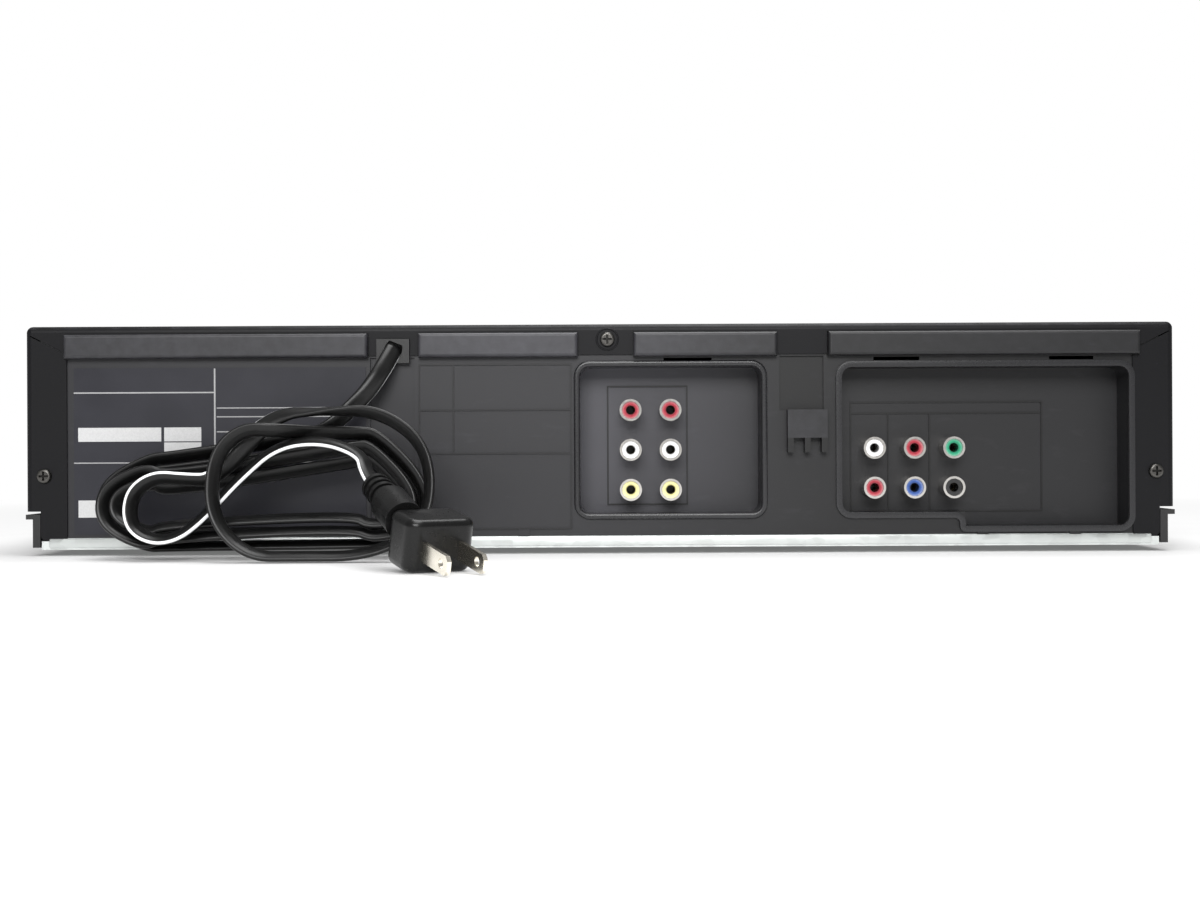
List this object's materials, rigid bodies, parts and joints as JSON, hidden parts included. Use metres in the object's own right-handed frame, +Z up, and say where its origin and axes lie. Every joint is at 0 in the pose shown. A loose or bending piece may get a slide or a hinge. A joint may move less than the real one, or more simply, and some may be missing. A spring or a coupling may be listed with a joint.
{
  "type": "vcr dvd combo player",
  "caption": "slim tape and disc player with a folded black cover, sunk socket bays on the back, a disc loader, a tape deck and a mains lead tied in a hank",
  "frame": {"origin": "middle of the case's footprint, on the surface that the feet stand on", "axes": "+Z up, the sockets on the back face +Y, the front faces -Y, +X is to the left of the back"},
  "size_m": [0.43, 0.3694, 0.086],
  "materials": {
    "cover_paint": "fine matte black paint on folded steel",
    "black_moulding": "spark-eroded matte black moulding",
    "zinc_steel": "bright zinc-plated sheet",
    "foot_rubber": "soft matte rubber",
    "label_film": "blank printed film, satin",
    "screw_steel": "blackened steel",
    "nickel": "bright nickel plate",
    "red_plastic": "glossy moulding",
    "white_plastic": "glossy moulding",
    "yellow_plastic": "glossy moulding",
    "green_plastic": "glossy moulding",
    "blue_plastic": "glossy moulding",
    "black_plastic": "glossy moulding",
    "contact_brass": "plain brass",
    "jack_block": "plain black moulding",
    "cord_vinyl": "glossy black vinyl",
    "blade_brass": "bright plated brass",
    "fascia": "satin black moulding",
    "button_cap": "satin grey moulding",
    "smoked_window": "smoked clear plastic",
    "display": "dark display glass",
    "circuit_board": "green board lacquer",
    "loader_plastic": "plain black moulding",
    "white_gears": "natural acetal",
    "bright_steel": "ground steel",
    "turntable_rubber": "matte black with a soft face",
    "deck_steel": "zinc-plated sheet",
    "reel_plastic": "pale moulding",
    "drum_alloy": "turned and polished",
    "roller_rubber": "smooth rubber",
    "core_steel": "lacquered laminations",
    "capacitor_sleeve": "can in a shrunk sleeve"
  },
  "bodies": {
    "case": {"top_cover": "cover_paint", "main_chassis": "black_moulding", "rear_panel": "black_moulding", "cord_bushing": "black_moulding", "bottom_plate": "zinc_steel", "feet": "foot_rubber", "rating_label": "label_film", "cover_screws": "screw_steel", "jack_sleeves": "nickel", "red_insulators": "red_plastic", "white_insulators": "white_plastic", "yellow_insulators": "yellow_plastic", "green_insulators": "green_plastic", "blue_insulators": "blue_plastic", "black_insulators": "black_plastic", "jack_contacts": "contact_brass", "line_jack_block": "jack_block", "disc_jack_block": "jack_block", "power_cord": "cord_vinyl", "cord_hank": "cord_vinyl", "plug_lead": "cord_vinyl", "plug_body": "cord_vinyl", "plug_blades": "blade_brass", "front_panel": "fascia", "display_window": "smoked_window", "display_module": "display", "front_board": "circuit_board", "main_board": "circuit_board", "power_board": "circuit_board", "loader_frame": "loader_plastic", "deck_chassis": "deck_steel", "lower_drum": "drum_alloy", "transformer": "core_steel", "capacitor": "capacitor_sleeve"},
    "power_button": {"power_button": "button_cap"},
    "disc_eject_button": {"disc_eject_button": "button_cap"},
    "play_button": {"play_button": "button_cap"},
    "stop_button": {"stop_button": "button_cap"},
    "tape_eject_button": {"tape_eject_button": "button_cap"},
    "rewind_button": {"rewind_button": "button_cap"},
    "forward_button": {"forward_button": "button_cap"},
    "record_button": {"record_button": "button_cap"},
    "cassette_door": {"cassette_door": "fascia"},
    "tray": {"disc_tray": "loader_plastic", "tray_front": "fascia"},
    "tray_gear": {"tray_gear": "white_gears"},
    "traverse": {"traverse_frame": "loader_plastic", "guide_rods": "bright_steel", "spindle_motor": "bright_steel"},
    "turntable": {"turntable": "turntable_rubber"},
    "pickup_sled": {"pickup_sled": "loader_plastic"},
    "sled_gear": {"sled_gear": "white_gears"},
    "upper_drum": {"upper_drum": "drum_alloy"},
    "capstan": {"capstan": "bright_steel"},
    "supply_reel": {"supply_reel": "reel_plastic"},
    "take_up_reel": {"take_up_reel": "reel_plastic"},
    "pinch_arm": {"pinch_arm": "bright_steel"},
    "pinch_roller": {"pinch_roller": "roller_rubber"},
    "cassette_carriage": {"cassette_carriage": "deck_steel"}
  },
  "joints": [
    {"name": "door_swing", "type": "hinge", "parent": "case", "child": "cassette_door", "pos_m": [0.102, -0.1268, 0.0779], "axis": [1, 0, 0], "range_deg": [0, 85], "stiffness_Nm_per_rad": 0.01},
    {"name": "power_button_press", "type": "slide", "parent": "case", "child": "power_button", "axis": [0, 1, 0], "range_m": [0, 0.0008], "stiffness_N_per_m": 600},
    {"name": "disc_eject_button_press", "type": "slide", "parent": "case", "child": "disc_eject_button", "axis": [0, 1, 0], "range_m": [0, 0.0008], "stiffness_N_per_m": 600},
    {"name": "play_button_press", "type": "slide", "parent": "case", "child": "play_button", "axis": [0, 1, 0], "range_m": [0, 0.0008], "stiffness_N_per_m": 600},
    {"name": "stop_button_press", "type": "slide", "parent": "case", "child": "stop_button", "axis": [0, 1, 0], "range_m": [0, 0.0008], "stiffness_N_per_m": 600},
    {"name": "tape_eject_button_press", "type": "slide", "parent": "case", "child": "tape_eject_button", "axis": [0, 1, 0], "range_m": [0, 0.0008], "stiffness_N_per_m": 600},
    {"name": "rewind_button_press", "type": "slide", "parent": "case", "child": "rewind_button", "axis": [0, 1, 0], "range_m": [0, 0.0008], "stiffness_N_per_m": 600},
    {"name": "forward_button_press", "type": "slide", "parent": "case", "child": "forward_button", "axis": [0, 1, 0], "range_m": [0, 0.0008], "stiffness_N_per_m": 600},
    {"name": "record_button_press", "type": "slide", "parent": "case", "child": "record_button", "axis": [0, 1, 0], "range_m": [0, 0.0008], "stiffness_N_per_m": 600},
    {"name": "tray_slide", "type": "slide", "parent": "case", "child": "tray", "axis": [0, -1, 0], "range_m": [0, 0.135]},
    {"name": "tray_gear_spin", "type": "hinge", "parent": "case", "child": "tray_gear", "pos_m": [-0.072, -0.1, 0.0446], "axis": [0, 0, 1], "range_deg": [-775, 0]},
    {"name": "traverse_lift", "type": "hinge", "parent": "case", "child": "traverse", "pos_m": [-0.121, 0.039, 0.03475], "axis": [-1, 0, 0], "range_deg": [0, 4.4]},
    {"name": "turntable_spin", "type": "hinge", "parent": "traverse", "child": "turntable", "pos_m": [-0.121, -0.058, 0.042], "axis": [0, 0, 1], "continuous": true},
    {"name": "sled_slide", "type": "slide", "parent": "traverse", "child": "pickup_sled", "axis": [0, 1, 0], "range_m": [0, 0.035]},
    {"name": "sled_gear_spin", "type": "hinge", "parent": "traverse", "child": "sled_gear", "pos_m": [-0.09538, -0.0025, 0.038], "axis": [0, 0, 1], "range_deg": [-402, 0]},
    {"name": "drum_spin", "type": "hinge", "parent": "case", "child": "upper_drum", "pos_m": [0.102, 0.045, 0.0525], "axis": [0, 0, 1], "continuous": true},
    {"name": "capstan_spin", "type": "hinge", "parent": "case", "child": "capstan", "pos_m": [0.046, 0.008, 0.036], "axis": [0, 0, 1], "continuous": true},
    {"name": "supply_reel_spin", "type": "hinge", "parent": "case", "child": "supply_reel", "pos_m": [0.0558, -0.052, 0.03], "axis": [0, 0, 1], "continuous": true},
    {"name": "take_up_reel_spin", "type": "hinge", "parent": "case", "child": "take_up_reel", "pos_m": [0.1482, -0.052, 0.03], "axis": [0, 0, 1], "continuous": true},
    {"name": "pinch_arm_swing", "type": "hinge", "parent": "case", "child": "pinch_arm", "pos_m": [0.018, 0.024, 0.039], "axis": [0, 0, 1], "range_deg": [-22, 0]},
    {"name": "pinch_roller_spin", "type": "hinge", "parent": "pinch_arm", "child": "pinch_roller", "pos_m": [0.04703, 0.02689, 0.047], "axis": [0, 0, 1], "continuous": true},
    {"name": "carriage_drop", "type": "slide", "parent": "case", "child": "cassette_carriage", "axis": [0, 0, -1], "range_m": [0, 0.017]}
  ],
  "couplings": [
    {"joint": "tray_gear_spin", "follows": "tray_slide", "rad_per_m": -100},
    {"joint": "sled_gear_spin", "follows": "sled_slide", "rad_per_m": -200}
  ]
}
